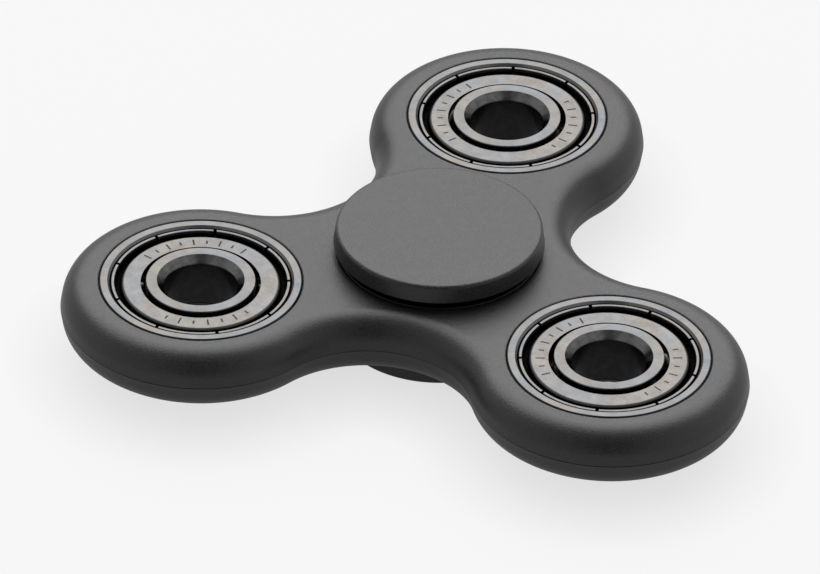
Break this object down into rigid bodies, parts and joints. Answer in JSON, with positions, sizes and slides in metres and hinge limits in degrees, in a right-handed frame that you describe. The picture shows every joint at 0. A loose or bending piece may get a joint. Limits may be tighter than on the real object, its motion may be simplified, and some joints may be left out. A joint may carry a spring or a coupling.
{
  "type": "fidget spinner",
  "caption": "Three-lobed hand spinner: a rounded moulded body with ball bearings in the lobes, spinning between two flat finger caps on a centre ball bearing.",
  "frame": {"origin": "on the spin axis, at the outer face of the lower finger cap, which the object stands on", "axes": "+Z along the spin axis, towards the upper finger cap; lobe_a lies along +Y, lobe_b at 210 degrees and lobe_c at 330 degrees from +X"},
  "size_m": [0.0762, 0.0701, 0.013],
  "materials": {
    "body_plastic": "satin black moulded plastic",
    "cap_plastic": "fine-grained matte black plastic",
    "ring_steel": "ground bearing steel",
    "shield_steel": "pressed sheet steel",
    "ball_steel": "polished",
    "cage_steel": "pressed strip, oiled"
  },
  "bodies": {
    "grip": {"lower_finger_cap": "cap_plastic", "upper_finger_cap": "cap_plastic", "centre_inner_ring": "ring_steel"},
    "rotor": {"body": "body_plastic", "centre_outer_ring": "ring_steel", "lobe_a_outer_ring": "ring_steel", "lobe_b_outer_ring": "ring_steel", "lobe_c_outer_ring": "ring_steel", "centre_shield_upper": "shield_steel", "centre_shield_lower": "shield_steel", "lobe_a_shield_upper": "shield_steel", "lobe_a_shield_lower": "shield_steel", "lobe_b_shield_upper": "shield_steel", "lobe_b_shield_lower": "shield_steel", "lobe_c_shield_upper": "shield_steel", "lobe_c_shield_lower": "shield_steel"},
    "centre_cage": {"centre_balls": "ball_steel", "centre_cage_upper": "cage_steel", "centre_cage_lower": "cage_steel"},
    "lobe_a_inner": {"lobe_a_inner_ring": "ring_steel"},
    "lobe_a_cage": {"lobe_a_balls": "ball_steel", "lobe_a_cage_upper": "cage_steel", "lobe_a_cage_lower": "cage_steel"},
    "lobe_b_inner": {"lobe_b_inner_ring": "ring_steel"},
    "lobe_b_cage": {"lobe_b_balls": "ball_steel", "lobe_b_cage_upper": "cage_steel", "lobe_b_cage_lower": "cage_steel"},
    "lobe_c_inner": {"lobe_c_inner_ring": "ring_steel"},
    "lobe_c_cage": {"lobe_c_balls": "ball_steel", "lobe_c_cage_upper": "cage_steel", "lobe_c_cage_lower": "cage_steel"}
  },
  "joints": [
    {"name": "spin", "type": "hinge", "parent": "grip", "child": "rotor", "pos_m": [0, 0, 0.0065], "axis": [0, 0, 1], "continuous": true},
    {"name": "centre_cage_spin", "type": "hinge", "parent": "grip", "child": "centre_cage", "pos_m": [0, 0, 0.0065], "axis": [0, 0, 1], "continuous": true},
    {"name": "lobe_a_spin", "type": "hinge", "parent": "rotor", "child": "lobe_a_inner", "pos_m": [0, 0.0265, 0.0065], "axis": [0, 0, 1], "continuous": true},
    {"name": "lobe_a_cage_spin", "type": "hinge", "parent": "rotor", "child": "lobe_a_cage", "pos_m": [0, 0.0265, 0.0065], "axis": [0, 0, 1], "continuous": true},
    {"name": "lobe_b_spin", "type": "hinge", "parent": "rotor", "child": "lobe_b_inner", "pos_m": [-0.02295, -0.01325, 0.0065], "axis": [0, 0, 1], "continuous": true},
    {"name": "lobe_b_cage_spin", "type": "hinge", "parent": "rotor", "child": "lobe_b_cage", "pos_m": [-0.02295, -0.01325, 0.0065], "axis": [0, 0, 1], "continuous": true},
    {"name": "lobe_c_spin", "type": "hinge", "parent": "rotor", "child": "lobe_c_inner", "pos_m": [0.02295, -0.01325, 0.0065], "axis": [0, 0, 1], "continuous": true},
    {"name": "lobe_c_cage_spin", "type": "hinge", "parent": "rotor", "child": "lobe_c_cage", "pos_m": [0.02295, -0.01325, 0.0065], "axis": [0, 0, 1], "continuous": true}
  ],
  "couplings": [
    {"joint": "centre_cage_spin", "follows": "spin", "ratio": 0.6323},
    {"joint": "lobe_a_cage_spin", "follows": "lobe_a_spin", "ratio": 0.3677},
    {"joint": "lobe_b_cage_spin", "follows": "lobe_b_spin", "ratio": 0.3677},
    {"joint": "lobe_c_cage_spin", "follows": "lobe_c_spin", "ratio": 0.3677}
  ]
}
